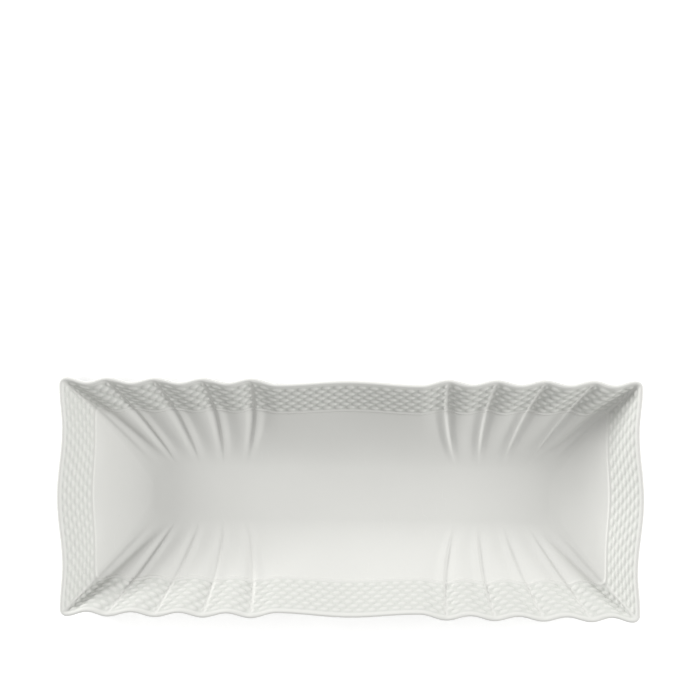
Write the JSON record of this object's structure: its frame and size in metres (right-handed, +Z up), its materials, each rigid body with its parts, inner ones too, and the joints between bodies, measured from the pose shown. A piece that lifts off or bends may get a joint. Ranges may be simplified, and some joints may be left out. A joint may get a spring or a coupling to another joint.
{
  "type": "serving platter",
  "caption": "Long rectangular porcelain serving platter with fluted long walls, a woven-pattern border band and a low foot ring.",
  "frame": {"origin": "on the table, under the middle of the platter", "axes": "+X along the length, +Y across the width, +Z up out of the dish"},
  "size_m": [0.365, 0.15, 0.04],
  "materials": {
    "biscuit": "unglazed fired porcelain, matt",
    "glaze": "clear gloss glaze over white porcelain"
  },
  "bodies": {
    "root": {"porcelain_body": "biscuit", "foot_ring": "biscuit", "glaze_coat": "glaze", "recess_glaze": "glaze"}
  },
  "joints": []
}
